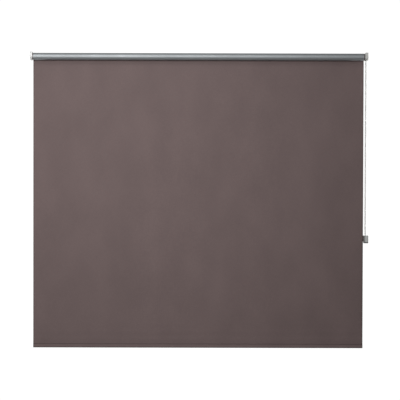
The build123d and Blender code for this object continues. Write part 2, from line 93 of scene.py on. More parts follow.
class NodeTree:
    """The nodes of one new material: a principled shader and what feeds it."""

    def __init__(self, name: str, place: Place = Place.PIECE) -> None:
        """Start a material.

        Args:
            name: the material's name.
            place: where its textures read their position.
        """
        self.material = bpy.data.materials.new(name)
        self.material.use_nodes = True
        self.nodes = self.material.node_tree.nodes
        self.links = self.material.node_tree.links
        self.shader = self.nodes["Principled BSDF"]
        if place is Place.CLOTH:
            cloth = self.add("ShaderNodeAttribute", attribute_name="cloth_at")
            self.place = cloth.outputs["Vector"]
        else:
            self.place = self.add("ShaderNodeTexCoord").outputs["Object"]

    def add(self, kind: str, **settings: object) -> bpy.types.Node:
        """Add a node.

        Args:
            kind: the node's type.
            settings: its properties.

        Returns:
            The new node.
        """
        node = self.nodes.new(kind)
        for key, value in settings.items():
            setattr(node, key, value)
        return node

    def feed(self, value: object, target: Socket) -> None:
        """Link a socket to a target, or set the target to a plain value."""
        if isinstance(value, Socket):
            self.links.new(value, target)
        else:
            target.default_value = value

    def shade(self, **values: object) -> None:
        """Set or link the shader's inputs, named with underscores for spaces."""
        for key, value in values.items():
            if isinstance(value, tuple):
                value = (*value, 1.0)
            self.feed(value, self.shader.inputs[key.replace("_", " ")])

    def math(self, operation: str, first: object, second: object = 0.0) -> Socket:
        """Join two numbers by one operation and return the result."""
        node = self.add("ShaderNodeMath", operation=operation)
        self.feed(first, node.inputs[0])
        self.feed(second, node.inputs[1])
        return node.outputs[0]

    def spread(self, value: Socket, low: float, high: float, to_low: float = 0.0,
               to_high: float = 1.0) -> Socket:
        """Carry a number from one range to another, held inside it."""
        node = self.add("ShaderNodeMapRange", clamp=True)
        for index, number in enumerate((low, high, to_low, to_high), start=1):
            node.inputs[index].default_value = number
        self.feed(value, node.inputs[0])
        return node.outputs[0]

    def scaled(self, stretch: Sequence[float]) -> Socket:
        """Return the position, scaled along each axis."""
        node = self.add("ShaderNodeMapping")
        node.inputs["Scale"].default_value = tuple(stretch)
        self.feed(self.place, node.inputs["Vector"])
        return node.outputs[0]

    def split(self) -> tuple[Socket, Socket, Socket]:
        """Return the position's X, Y and Z."""
        node = self.add("ShaderNodeSeparateXYZ")
        self.feed(self.place, node.inputs[0])
        return tuple(node.outputs)

    def noise(self, size: float, stretch: Sequence[float] = (1, 1, 1),
              detail: float = 3.0) -> Socket:
        """Cloudy noise.

        Args:
            size: the width of its features, in metres.
            stretch: how much finer it is along each axis.
            detail: its octaves.

        Returns:
            Its value, from 0 to 1.
        """
        node = self.add("ShaderNodeTexNoise")
        self.feed(self.scaled(stretch), node.inputs["Vector"])
        node.inputs["Scale"].default_value = 1.0 / size
        node.inputs["Detail"].default_value = detail
        return node.outputs[0]

    def bands(self, axis: str, pitch: float) -> Socket:
        """Return a smooth ripple of one pitch, in metres, along one axis of the position."""
        node = self.add("ShaderNodeTexWave", bands_direction=axis, wave_profile="SIN")
        self.feed(self.place, node.inputs["Vector"])
        node.inputs["Scale"].default_value = math.tau / WAVE_UNITS / pitch
        return node.outputs["Fac"]

    def tint(self, factor: Socket, first: Colour | Socket, second: Colour | Socket) -> Socket:
        """Return a colour between two, by a factor."""
        node = self.add("ShaderNodeMix", data_type="RGBA")
        self.feed(factor, node.inputs["Factor"])
        for end, colour in ((6, first), (7, second)):
            self.feed(colour if isinstance(colour, Socket) else (*colour, 1.0), node.inputs[end])
        return node.outputs[2]

    def mottled(self, cloud: Socket, colour: Colour, dark: float, light: float,
                reach: tuple[float, float] = NOISE_REACH) -> Socket:
        """Shade a colour by a noise.

        Args:
            cloud: the noise.
            colour: the colour.
            dark: the factor on the colour where the noise is low.
            light: the factor on it where the noise is high.
            reach: the low and the high value of the noise.

        Returns:
            The shaded colour.
        """
        factor = self.spread(cloud, *reach)
        return self.tint(factor, shade_of(colour, dark), shade_of(colour, light))

    def from_edge(self, edges: tuple[float, float], low: float, high: float,
                  to_low: float = 0.0) -> Socket:
        """A factor that rises to 1 away from both side edges of the cloth.

        Args:
            edges: the two edges, along X.
            low: how far from an edge the rise begins.
            high: how far from it the rise ends.
            to_low: the factor at the edge.

        Returns:
            The factor.
        """
        across = self.split()[0]
        from_left = self.math("SUBTRACT", across, edges[0])
        from_right = self.math("SUBTRACT", edges[1], across)
        return self.spread(self.math("MINIMUM", from_left, from_right), low, high, to_low)

    def bump(self, height: Socket, depth: float, over: Socket | None = None) -> Socket:
        """Turn a height into a normal.

        Args:
            height: the height, from 0 to 1.
            depth: how many metres that is.
            over: another normal below it.

        Returns:
            The normal.
        """
        node = self.add("ShaderNodeBump")
        node.inputs["Distance"].default_value = depth
        self.feed(height, node.inputs["Height"])
        if over is not None:
            self.feed(over, node.inputs["Normal"])
        return node.outputs[0]


def shade_of(colour: Colour, factor: float) -> Colour:
    """Return a colour made lighter or darker by a factor."""
    return tuple(min(1.0, channel * factor) for channel in colour)


@dataclass(frozen=True)
class Finish:
    """What every finish has. A kind of finish says how its nodes are made."""

    name: str
    colour: Colour
    roughness: float = 0.5
    place: Place = Place.PIECE

    def material(self) -> bpy.types.Material:
        """Return the finish's material, made at its first use."""
        made = bpy.data.materials.get(self.name)
        if made is None:
            tree = NodeTree(self.name, self.place)
            self.fill(tree)
            made = tree.material
            made.diffuse_color = (*self.colour, 1.0)
        return made

    def fill(self, tree: NodeTree) -> None:
        """Make the finish's nodes."""
        raise NotImplementedError


@dataclass(frozen=True)
class WovenCloth(Finish):
    """Plain-woven blind fabric: fine yarns, slubs along both of them, faint mottling."""

    pitch: float = 0.9 * MM
    yarn_stretch: float = 0.06
    slub: float = 0.10
    slub_reach: tuple[float, float] = (0.7, 1.3)
    slub_depth: float = 0.05 * MM
    weave_depth: float = 0.10 * MM
    mottle: float = 0.06
    mottle_size: float = 0.16
    edge_at: tuple[float, float] | None = None
    edge_reach: tuple[float, float] = (2.0 * MM, 5.0 * MM)
    edge_tone: float = 0.66

    def fill(self, tree: NodeTree) -> None:
        """Make the weave, its slubs, the mottling and the sealed edges."""
        weave = tree.math("MULTIPLY", tree.bands("X", self.pitch), tree.bands("Z", self.pitch))
        across = tree.noise(self.pitch, (self.yarn_stretch, 1, 1), 2.0)
        down = tree.noise(self.pitch, (1, 1, self.yarn_stretch), 2.0)
        slubs = tree.math("ADD", across, down)
        clouds = tree.noise(self.mottle_size, (1, 1, 0.6), 4.0)
        tone = tree.math("MULTIPLY",
                         tree.spread(slubs, *self.slub_reach, 1 - self.slub, 1 + self.slub),
                         tree.spread(clouds, *NOISE_REACH, 1 - self.mottle, 1 + self.mottle))
        if self.edge_at is not None:
            sealed = tree.from_edge(self.edge_at, *self.edge_reach, self.edge_tone)
            tone = tree.math("MULTIPLY", tone, sealed)
        tone = tree.math("MULTIPLY", tone, self.marks(tree))
        colour = tree.mottled(tone, self.colour, *TONE_REACH, reach=TONE_REACH)
        rough = tree.spread(weave, 0.0, 1.0, self.roughness - 0.06, self.roughness + 0.05)
        normal = tree.bump(slubs, self.slub_depth, tree.bump(weave, self.weave_depth))
        tree.shade(Base_Color=colour, Roughness=rough, Normal=normal, Sheen_Weight=0.12,
                   Sheen_Roughness=0.45, Specular_IOR_Level=0.3)

    def marks(self, tree: NodeTree) -> Socket | float:
        """Return a further factor on the tone. Plain cloth has none."""
        return 1.0


@dataclass(frozen=True)
class HemCloth(WovenCloth):
    """The same fabric round the hem bar.

    It is darkened at the weld, a real weld line deepened by painted shade at the sleeve's top
    edge, lightened over the bar by a painted highlight and darkened along the bottom by painted
    shade.
    """

    bottom: float = 0.0
    weld: float = 20.5 * MM
    weld_tone: float = 0.46
    highlight_height: float = 9.5 * MM
    highlight_tone: float = 1.12
    under_shade_reach: tuple[float, float] = (4.0 * MM, 6.0 * MM)
    under_shade_tone: float = 0.66

    def marks(self, tree: NodeTree) -> Socket:
        """Return the factor of the three bands, by the height above the bottom edge: the weld line
        with painted shade, the painted highlight and the painted shade along the bottom.
        """
        height = tree.math("SUBTRACT", tree.split()[2], self.bottom)
        from_weld = tree.math("ABSOLUTE", tree.math("SUBTRACT", height, self.weld))
        from_highlight = tree.math("ABSOLUTE", tree.math("SUBTRACT", height, self.highlight_height))
        # weld line partly real, partly painted shade; painted highlight over the bar; painted
        # shade along the bottom
        weld_and_shade = tree.spread(from_weld, 1.0 * MM, 2.0 * MM, self.weld_tone)
        painted_highlight = tree.spread(from_highlight, 1.0 * MM, 3.0 * MM, self.highlight_tone)
        painted_shade = tree.spread(height, *self.under_shade_reach, self.under_shade_tone)
        return tree.math("MULTIPLY", tree.math("MULTIPLY", weld_and_shade, painted_highlight), painted_shade)


@dataclass(frozen=True)
class CoatedCloth(Finish):
    """The metallised coating on the fabric's window side, with the weave as a fine grain."""

    pitch: float = 0.9 * MM
    metal: float = 0.6
    streak_size: float = 2.2 * MM
    cloud_size: float = 0.09
    grain_reach: tuple[float, float] = (0.35, 0.65)
    edge_at: tuple[float, float] | None = None
    bare_reach: tuple[float, float] = (1.8 * MM, 2.8 * MM)

    def fill(self, tree: NodeTree) -> None:
        """Make the coating's grain, its patches, its soft gloss and the bare selvedges."""
        weave = tree.math("MULTIPLY", tree.bands("X", self.pitch), tree.bands("Z", self.pitch))
        streaks = tree.noise(self.streak_size, (0.05, 1, 1), 3.0)
        clouds = tree.noise(self.cloud_size, (0.6, 1, 1), 4.0)
        tone = tree.math("MULTIPLY", tree.math("ADD", streaks, clouds), 0.5)
        colour = tree.mottled(tone, self.colour, 0.93, 1.05, self.grain_reach)
        rough = tree.spread(tone, *self.grain_reach, self.roughness + 0.04, self.roughness - 0.04)
        normal = tree.bump(streaks, 0.04 * MM, tree.bump(weave, 0.05 * MM))
        metal = self.metal
        if self.edge_at is not None:
            coated = tree.from_edge(self.edge_at, *self.bare_reach)
            colour = tree.tint(coated, CLOTH_COLOUR, colour)
            metal = tree.math("MULTIPLY", coated, self.metal)
        tree.shade(Base_Color=colour, Metallic=metal, Roughness=rough, Normal=normal)


@dataclass(frozen=True)
class MouldedPlastic(Finish):
    """Injection-moulded plastic, with a fine spark-eroded skin and faint flow clouds."""

    skin: float = 0.35 * MM
    depth: float = 0.012 * MM
    cloud_size: float = 14 * MM
    coat: float = 0.0

    def fill(self, tree: NodeTree) -> None:
        """Make the skin, the clouds and the uneven gloss."""
        skin = tree.noise(self.skin, detail=2.0)
        clouds = tree.noise(self.cloud_size, detail=3.0)
        colour = self.painted_shade(tree, tree.mottled(clouds, self.colour, 0.94, 1.03))
        rough = tree.spread(clouds, *NOISE_REACH, self.roughness - 0.05, self.roughness + 0.08)
        tree.shade(Base_Color=colour, Roughness=rough, Normal=tree.bump(skin, self.depth),
                   Coat_Weight=self.coat, Coat_Roughness=0.25)

    def painted_shade(self, tree: NodeTree, colour: Socket) -> Socket:
        """Return the colour with its painted shade. A plain part has none."""
        return colour


@dataclass(frozen=True)
class ShadePaintedPlastic(MouldedPlastic):
    """The same plastic, with painted shade along its foot, on its inner side and at its cover's
    joint.
    """

    foot: float = 0.0
    inner_side: float = 0.0
    joint: float = 0.0
    foot_reach: tuple[float, float] = (4.0 * MM, 8.0 * MM)
    inner_reach: tuple[float, float] = (4.5 * MM, 8.5 * MM)
    joint_reach: float = 3.5 * MM
    shadow_tone: float = 0.16

    def painted_shade(self, tree: NodeTree, colour: Socket) -> Socket:
        """Return the colour, darkened by painted shade along the foot, the inner side and the
        joint.
        """
        across, _, height = tree.split()
        from_foot = tree.math("SUBTRACT", height, self.foot)
        from_inner = tree.math("SUBTRACT", across, self.inner_side)
        from_joint = tree.math("SUBTRACT", self.joint, across)
        sides = tree.math("MULTIPLY", tree.spread(from_inner, *self.inner_reach, 0.35),
                          tree.spread(from_joint, 0.0, self.joint_reach, 0.5))
        # painted shade: darker along the foot, on the inner side and at the cover's joint
        unshaded = tree.math("MULTIPLY", tree.spread(from_foot, *self.foot_reach), sides)
        return tree.tint(unshaded, shade_of(self.colour, self.shadow_tone), colour)


@dataclass(frozen=True)
class PowderCoat(Finish):
    """Powder-coated sheet steel, with its orange peel."""

    peel_size: float = 1.1 * MM
    peel_depth: float = 0.03 * MM
    cloud_size: float = 9 * MM

    def fill(self, tree: NodeTree) -> None:
        """Make the orange peel and the faint change of tone."""
        peel = tree.noise(self.peel_size, detail=1.5)
        clouds = tree.noise(self.cloud_size)
        colour = tree.mottled(clouds, self.colour, 0.95, 1.02)
        rough = tree.spread(peel, *NOISE_REACH, self.roughness, self.roughness + 0.1)
        tree.shade(Base_Color=colour, Roughness=rough, Normal=tree.bump(peel, self.peel_depth))


@dataclass(frozen=True)
class BareMetal(Finish):
    """Drawn or turned metal, with fine lines in the direction it was worked."""

    grain: Grain = Grain.ALONG_X
    line: float = 0.25 * MM
    line_depth: float = 0.008 * MM
    cloud_size: float = 12 * MM

    def fill(self, tree: NodeTree) -> None:
        """Make the fine lines and the uneven polish."""
        lines = tree.noise(self.line, self.grain.value, 3.0)
        clouds = tree.noise(self.cloud_size)
        colour = tree.mottled(lines, self.colour, 0.88, 1.06)
        rough = tree.spread(clouds, *NOISE_REACH, self.roughness - 0.06, self.roughness + 0.10)
        tree.shade(Base_Color=colour, Metallic=1.0, Roughness=rough,
                   Normal=tree.bump(lines, self.line_depth))


@dataclass(frozen=True)
class PaleFloor(Finish):
    """A pale studio floor that looks brighter than the light it sends back up."""

    glow: float = 0.78
    grain_size: float = 4 * MM
    grain_depth: float = 0.05 * MM
    cloud_size: float = 0.5

    def fill(self, tree: NodeTree) -> None:
        """Make the grain and the glow that only the camera sees."""
        grain = tree.noise(self.grain_size, detail=4.0)
        clouds = tree.noise(self.cloud_size, detail=3.0)
        seen = tree.add("ShaderNodeLightPath").outputs["Is Camera Ray"]
        tree.shade(Base_Color=tree.mottled(clouds, self.colour, 0.48, 0.5),
                   Roughness=self.roughness, Normal=tree.bump(grain, self.grain_depth),
                   Emission_Color=tree.mottled(clouds, self.colour, 0.97, 1.0),
                   Emission_Strength=tree.math("MULTIPLY", seen, self.glow))


def corners_of(node: str) -> tuple[Vector, Vector]:
    """Return the lowest and the highest corner of a CAD node."""
    return tuple(Vector(corner).freeze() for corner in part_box(node))


CLOTH_COLOUR: Colour = (0.205, 0.150, 0.146)
SILVER_COLOUR: Colour = (0.44, 0.465, 0.478)
PANEL_LOW, PANEL_HIGH = corners_of("fabric_panel")
CLOTH_EDGES = (PANEL_LOW.x, PANEL_HIGH.x)
HEM_LOW, HEM_HIGH = corners_of("hem_pocket")
WOUND_LOW, WOUND_HIGH = corners_of("wound_fabric")
SHELL_LOW, SHELL_HIGH = corners_of("tensioner_housing")

FRONT_CLOTH = WovenCloth("cloth_front", CLOTH_COLOUR, 0.86, edge_at=CLOTH_EDGES)
# hem cloth with painted shade at the weld and along the bottom, and a painted highlight over the
# bar
HEM_CLOTH = HemCloth("cloth_hem", CLOTH_COLOUR, 0.84, edge_at=CLOTH_EDGES, bottom=HEM_LOW.z)
BACK_CLOTH = CoatedCloth("cloth_coated_back", SILVER_COLOUR, 0.5)
ROLLED_BACK = CoatedCloth("cloth_coated_back_rolled", SILVER_COLOUR, 0.54, Place.CLOTH,
                          edge_at=CLOTH_EDGES)
ROLLED_FRONT = WovenCloth("cloth_front_rolled", CLOTH_COLOUR, 0.86, Place.CLOTH)
WHITE_COVER = MouldedPlastic("white_cover_plastic", (0.88, 0.88, 0.87), 0.38, coat=0.15)
CONTROL_COVER = MouldedPlastic("control_cover_plastic", (0.82, 0.82, 0.785), 0.42, coat=0.1)
CONTROL_GUARD = MouldedPlastic("chain_guard_plastic", (0.60, 0.60, 0.57), 0.45)
GREY_BEARING = MouldedPlastic("grey_bearing_plastic", (0.30, 0.31, 0.31), 0.45)
# near-black plastic for the plugs and the crown, darkened also as painted shade where the roll
# meets its end covers
DARK_BEARING = MouldedPlastic("dark_bearing_plastic", (0.045, 0.047, 0.047), 0.5)
PALE_BEARING = MouldedPlastic("pale_acetal", (0.74, 0.74, 0.71), 0.35)
STRIP_PLASTIC = MouldedPlastic("clear_white_strip", (0.78, 0.79, 0.77), 0.4)
# tensioner shell with painted shade along its foot, inner side and cover joint
TENSIONER_SHELL = ShadePaintedPlastic("tensioner_shell_plastic", (0.72, 0.73, 0.71), 0.4, coat=0.1,
                                 foot=SHELL_LOW.z, inner_side=SHELL_LOW.x, joint=SHELL_HIGH.x)
TENSIONER_LID = MouldedPlastic("tensioner_lid_plastic", (0.13, 0.14, 0.135), 0.4, coat=0.1)
TENSIONER_BASE = MouldedPlastic("tensioner_base_plastic", (0.15, 0.155, 0.15), 0.5)
BEAD_PLASTIC = MouldedPlastic("bead_plastic", (0.70, 0.70, 0.67), 0.3, skin=0.8 * MM, coat=0.25)
BRACKET_COAT = PowderCoat("bracket_powder_coat", (0.76, 0.76, 0.74), 0.4)
TUBE_METAL = BareMetal("extruded_aluminium", (0.77, 0.78, 0.80), 0.34)
HEM_METAL = BareMetal("hem_bar_aluminium", (0.72, 0.73, 0.74), 0.38)
PIN_METAL = BareMetal("turned_steel", (0.60, 0.60, 0.61), 0.28, grain=Grain.AROUND_X)
WIRE_METAL = BareMetal("spring_wire", (0.50, 0.50, 0.51), 0.32, grain=Grain.AROUND_X)


# ------------------------------------------------------------------ mesh tools


class Shape:
    """Points and faces that become one Blender object."""

    def __init__(self) -> None:
        """Start with nothing."""
        self.points: list[Vector] = []
        self.faces: list[tuple[int, ...]] = []
        self.finish_of: list[int] = []
        self.cloth_at: list[Spot] = []

    def row(self, points: Sequence[Vector], cloth_at: Sequence[Spot] = ()) -> list[int]:
        """Add points, with where they lie on the flat cloth, and return their numbers."""
        start = len(self.points)
        self.points.extend(points)
        self.cloth_at.extend(cloth_at or [tuple(p) for p in points])
        return list(range(start, len(self.points)))

    def face(self, corners: Sequence[int], finish: int = 0) -> None:
        """Add one face."""
        self.faces.append(tuple(corners))
        self.finish_of.append(finish)

    def join(self, first: Sequence[int], second: Sequence[int], finish: int = 0,
             closed: bool = False) -> None:
        """Join two rows of points by quads.

        Args:
            first: the first row's numbers.
            second: the second row's numbers.
            finish: which of the object's finishes the quads get.
            closed: whether the rows go all the way round.
        """
        count = len(first)
        for i in range(count if closed else count - 1):
            k = (i + 1) % count
            self.face((first[i], first[k], second[k], second[i]), finish)

    def slab(self, front: list[list[int]], back: list[list[int]],
             finishes: tuple[int, int, int]) -> None:
        """Close two grids of points, one behind the other, into a thin sheet.

        Args:
            front: the front grid's rows of numbers.
            back: the back grid's rows.
            finishes: the finishes of the front, the back and the cut edges.
        """
        for a, b in zip(front, front[1:]):
            self.join(a, b, finishes[0])
        for a, b in zip(back, back[1:]):
            self.join(b, a, finishes[1])
        self.join(back[0], front[0], finishes[2])
        self.join(front[-1], back[-1], finishes[2])
        self.join([row[0] for row in front], [row[0] for row in back], finishes[2])
        self.join([row[-1] for row in back], [row[-1] for row in front], finishes[2])

    def build(self, name: str, finishes: Sequence[Finish],
              sharp: float = 40.0) -> bpy.types.Object:
        """Make the object.

        Args:
            name: the piece's name.
            finishes: its finishes, in the order that its faces number them.
            sharp: the angle, in degrees, above which an edge stays sharp.

        Returns:
            The new object.
        """
        mesh = bpy.data.meshes.new(name)
        mesh.from_pydata([tuple(p) for p in self.points], [], self.faces)
        for finish in finishes:
            mesh.materials.append(finish.material())
        mesh.polygons.foreach_set("material_index", self.finish_of)
        mesh.polygons.foreach_set("use_smooth", [True] * len(self.faces))
        mesh.validate()
        mesh.set_sharp_from_angle(angle=math.radians(sharp))
        layer = mesh.attributes.new("cloth_at", "FLOAT_VECTOR", "POINT")
        layer.data.foreach_set("vector", [c for at in self.cloth_at for c in at])
        piece = bpy.data.objects.new(name, mesh)
        bpy.context.scene.collection.objects.link(piece)
        return piece


def stations(low: float, high: float, coarse: float, fine: float, margin: float) -> list[float]:
    """Places from low to high, closer together near both ends.

    Args:
        low: the first place.
        high: the last place.
        coarse: the step in the middle.
        fine: the step within the margins.
        margin: how far the fine steps reach in from each end.

    Returns:
        The places in order.
    """
    edge = max(1, round(margin / fine))
    middle = max(1, round((high - low - 2 * margin) / coarse))
    left = [low + margin * i / edge for i in range(edge)]
    mid = [low + margin + (high - low - 2 * margin) * i / middle for i in range(middle)]
    right = [high - margin + margin * i / edge for i in range(edge + 1)]
    return left + mid + right


def smooth_step(value: float, low: float, high: float) -> float:
    """Rise smoothly from 0 at low to 1 at high."""
    t = min(1.0, max(0.0, (value - low) / (high - low)))
    return t * t * (3 - 2 * t)


def settle(piece: bpy.types.Object, body: Body, slot: str, *nodes: str) -> bpy.types.Object:
    """Fasten a new piece to its body and hide the CAD nodes it replaces.

    Args:
        piece: the new piece.
        body: the body it rides on.
        slot: the record's material slot; not used.
        nodes: the CAD nodes it replaces.

    Returns:
        The piece.
    """
    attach(piece, body.value)
    if nodes:
        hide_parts(*nodes)
    LOG.info("%s: %d faces on %s", piece.name, len(piece.data.polygons), body.value)
    return piece


def dress(finishes: dict[str, Finish]) -> None:
    """Give kept CAD nodes their finishes.

    Args:
        finishes: the finish of each node.
    """
    for name, finish in finishes.items():
        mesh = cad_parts[name].data
        mesh.materials.clear()
        mesh.materials.append(finish.material())
        LOG.info("%s: %s", name, finish.name)


# ------------------------------------------------------------------ sub-assemblies


@dataclass
class Roller:
    """The tube with its plugs, and the cloth wound on it, silver side out."""

    low: Vector = WOUND_LOW
    high: Vector = WOUND_HIGH
    axis_y: float = (WOUND_LOW.y + WOUND_HIGH.y) / 2
    radius: float = (WOUND_HIGH.z - WOUND_LOW.z) / 2
    cloth: float = CLOTH_THICK
    gap_share: float = 0.06
    layers: float = 3.35
    steps_per_turn: int = 72
    lead_step: float = 3.0  # degrees
    lead_steps: int = 25
    lead_dive: float = 0.85 * MM
    lead_from: float = 0.2  # radians
    coarse: float = 80 * MM
    fine: float = 4 * MM
    margin: float = 12 * MM

    def build(self) -> None:
        """Wind the cloth, lead it off the back, and dress the tube's parts."""
        wound = self.wound_cloth()
        settle(wound, Body.ROLLER, "fabric_silver_side", "wound_fabric")
        settle(self.lead_on(), Body.FIXED, "fabric_silver_side")
        dress({
            "roller_tube": TUBE_METAL,
            "fabric_strip": STRIP_PLASTIC,
            "idle_plug": DARK_BEARING,
            "idle_spring_seat": GREY_BEARING,
            "idle_pin_spring": WIRE_METAL,
            "idle_pin": PIN_METAL,
            "clutch_crown": DARK_BEARING,
        })
        self.press_spring()

    def press_spring(self) -> None:
        """Give the pin's spring a mesh of its own."""
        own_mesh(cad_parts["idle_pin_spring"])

    def at(self, x: float, radius: float, angle: float) -> Vector:
        """Return a point about the tube axis. Its angle runs from the back over the top."""
        return Vector((x, self.axis_y + radius * math.cos(angle), radius * math.sin(angle)))

    def band(self, places: Sequence[float], angles: Sequence[float],
             outside: Callable[[float], float]) -> Shape:
        """A curved sheet about the tube axis.

        Args:
            places: its stations along the tube.
            angles: its stations round the tube.
            outside: the outer radius at each angle.

        Returns:
            The shape, with the outer face first.
        """
        shape = Shape()
        grids: list[list[list[int]]] = []
        for inset in (0.0, self.cloth * (1 - self.gap_share)):
            grid = []
            for x in places:
                line = [self.at(x, outside(a) - inset, a) for a in angles]
                grid.append(shape.row(line, [(x, 0.0, a * self.radius) for a in angles]))
            grids.append(grid)
        shape.slab(grids[0], grids[1], (0, 1, 1))
        return shape

    def wound_cloth(self) -> bpy.types.Object:
        """The turns of cloth on the tube, as one spiral."""
        count = round(self.layers * self.steps_per_turn)
        angles = [math.tau * self.layers * i / count for i in range(count + 1)]
        places = stations(self.low.x, self.high.x, self.coarse, self.fine, self.margin)
        shape = self.band(places, angles, lambda a: self.radius - self.cloth * a / math.tau)
        return shape.build("wound_cloth", (ROLLED_BACK, ROLLED_FRONT))

    def lead_on(self) -> bpy.types.Object:
        """The short stretch where the cloth leaves the roll at the back."""
        start = PANEL_HIGH.y - self.axis_y
        angles = [math.radians(self.lead_step * i) for i in range(self.lead_steps + 1)]
        places = stations(*CLOTH_EDGES, self.coarse, self.fine, self.margin)

        def outside(angle: float) -> float:
            """Return the radius, which falls to that of the turn below."""
            return start - self.lead_dive * smooth_step(angle, self.lead_from, angles[-1])

        shape = self.band(places, angles, outside)
        return shape.build("cloth_lead_on", (ROLLED_BACK, ROLLED_FRONT))


@dataclass
class HangingCloth:
    """The sheet below the roll, brown to the room and silver to the window."""

    low: Vector = PANEL_LOW
    high: Vector = PANEL_HIGH
    seam: float = HEM_HIGH.z
    cloth: float = CLOTH_THICK
    ripple: float = 0.42 * MM
    ripple_pitch: float = 42 * MM
    ripple_reach: float = 160 * MM
    curl: float = 1.1 * MM
    curl_reach: float = 16 * MM
    wave: float = 1.0 * MM
    coarse: float = 14 * MM
    fine_across: float = 2 * MM
    fine_down: float = 4 * MM
    hem_reach: float = 120 * MM
    hem_tuck: float = 0.6 * MM
    hem_rows: int = 40

    def build(self) -> None:
        """Hang the sheet."""
        shape = Shape()
        xs = stations(*CLOTH_EDGES, self.coarse, self.fine_across, 18 * MM)
        down = stations(0.0, -self.seam - self.hem_reach, self.coarse, self.fine_down, 24 * MM)
        step = (self.hem_reach + self.hem_tuck) / self.hem_rows
        zs = [-d for d in down]
        zs += [self.seam + self.hem_reach - step * (i + 1) for i in range(self.hem_rows)]
        fronts, backs = [], []
        for z in zs:
            line = [self.point(x, z) for x in xs]
            fronts.append(shape.row(line))
            backs.append(shape.row([p + Vector((0, self.cloth, 0)) for p in line]))
        shape.slab(fronts, backs, (0, 1, 0))
        piece = shape.build("hanging_cloth", (FRONT_CLOTH, BACK_CLOTH))
        settle(piece, Body.FIXED, "blind_fabric", "fabric_panel")
        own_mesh(piece)

    def point(self, x: float, z: float) -> Vector:
        """A point of the sheet's front face.

        Args:
            x: its place across.
            z: its height.

        Returns:
            The point, with the sheet's slight waves.
        """
        seam = self.seam
        hung = smooth_step(-z, 20 * MM, 300 * MM)
        free = 1 - smooth_step(-z, -seam - 60 * MM, -seam)
        slow = noise.noise(Vector((x * 1.7, z * 0.55, 3.1)))
        near_hem = smooth_step(z, seam + self.ripple_reach, seam)
        phase = math.tau * (z - seam) / self.ripple_pitch
        uneven = 0.7 + 0.6 * noise.noise(Vector((x * 2.3, 0.0, 8.4)))
        edge = min(x - self.low.x, self.high.x - x)
        at_edge = 1 - smooth_step(edge, 0.0, self.curl_reach)
        curl = self.curl * at_edge * hung * (0.25 + 0.75 * free)
        y = self.low.y + self.wave * slow * hung * (0.35 + 0.65 * free)
        y += self.ripple * near_hem * uneven * math.cos(phase)
        return Vector((x, y + curl, z))


@dataclass
class Hem:
    """The sleeve along the bottom edge, with the bar in it."""

    low: Vector = HEM_LOW
    high: Vector = HEM_HIGH
    middle: float = (HEM_LOW.y + HEM_HIGH.y) / 2
    half: float = (HEM_HIGH.y - HEM_LOW.y) / 2
    cloth: float = CLOTH_THICK
    seam_half: float = 0.45 * MM
    weld: float = 3.2 * MM
    shoulder: float = 17.5 * MM
    end_share: float = 0.82
    end_reach: float = 5 * MM
    sway: float = 0.12 * MM
    steps: int = 10

    def build(self) -> None:
        """Make the sleeve and dress the bar."""
        shape = Shape()
        outline, inner = self.outline(), self.outline(self.cloth)
        places = stations(self.low.x, self.high.x, 16 * MM, 3 * MM, 15 * MM)
        outers = [shape.row([self.eased(x, *spot) for spot in outline]) for x in places]
        inners = [shape.row([self.eased(x, *spot) for spot in inner]) for x in places]
        for a, b in zip(outers, outers[1:]):
            shape.join(b, a, 0, closed=True)
        for a, b in zip(inners, inners[1:]):
            shape.join(a, b, 1, closed=True)
        shape.join(outers[0], inners[0], 0, closed=True)
        shape.join(inners[-1], outers[-1], 0, closed=True)
        sleeve = shape.build("hem_sleeve", (HEM_CLOTH, BACK_CLOTH), sharp=50)
        settle(sleeve, Body.HEM, "blind_fabric", "hem_pocket")
        dress({
            "hem_bar": HEM_METAL,
            "hem_end_cap_left": GREY_BEARING,
            "hem_end_cap_right": GREY_BEARING,
        })

    def outline(self, inset: float = 0.0) -> list[tuple[float, float]]:
        """The sleeve's section.

        Args:
            inset: how far inside the outer face it lies.

        Returns:
            Y and Z of its points, in order round the section.
        """
        half = self.half - inset
        round_z = self.low.z + self.half
        seam_half = self.seam_half - inset * 0.8
        top = self.high.z - inset * 2
        weld_z = self.high.z - self.weld
        shoulder_z = self.low.z + self.shoulder
        rise = []
        for i in range(self.steps + 1):
            t = i / self.steps
            y = seam_half + (half - seam_half) * smooth_step(t, 0, 1)
            rise.append((y, weld_z + (shoulder_z - weld_z) * t))
        front = [(self.middle - seam_half, top)] + [(self.middle - y, z) for y, z in rise]
        below = [math.pi + math.pi * i / (2 * self.steps) for i in range(1, 2 * self.steps)]
        bottom = [(self.middle + half * math.cos(a), round_z + half * math.sin(a)) for a in below]
        back = [(self.middle + y, z) for y, z in reversed(rise)]
        return front + bottom + back + [(self.middle + seam_half, top)]

    def eased(self, x: float, y: float, z: float) -> Vector:
        """Return a point of the sleeve, drawn in where the bar stops short of the ends."""
        edge = min(x - self.low.x, self.high.x - x)
        full = self.end_share + (1 - self.end_share) * smooth_step(edge, 0.0, self.end_reach)
        sway = self.sway * noise.noise(Vector((x * 9.0, z * 30, 1.7)))
        return Vector((x, self.middle + (y - self.middle) * full + sway, z))


@dataclass
class Brackets:
    """Both brackets with their covers, the bush and the clutch."""

    def build(self) -> None:
        """Dress the fixed parts at both ends."""
        dress({
            "idle_bracket": BRACKET_COAT,
            "idle_bracket_cover": WHITE_COVER,
            "idle_pin_bush": PALE_BEARING,
            "control_bracket": BRACKET_COAT,
            "control_bracket_cover": CONTROL_COVER,
            "clutch_hub": PALE_BEARING,
            "clutch_brake_springs": WIRE_METAL,
            "clutch_retaining_clip": PIN_METAL,
            "chain_sprocket": PALE_BEARING,
            "chain_guard": CONTROL_GUARD,
        })


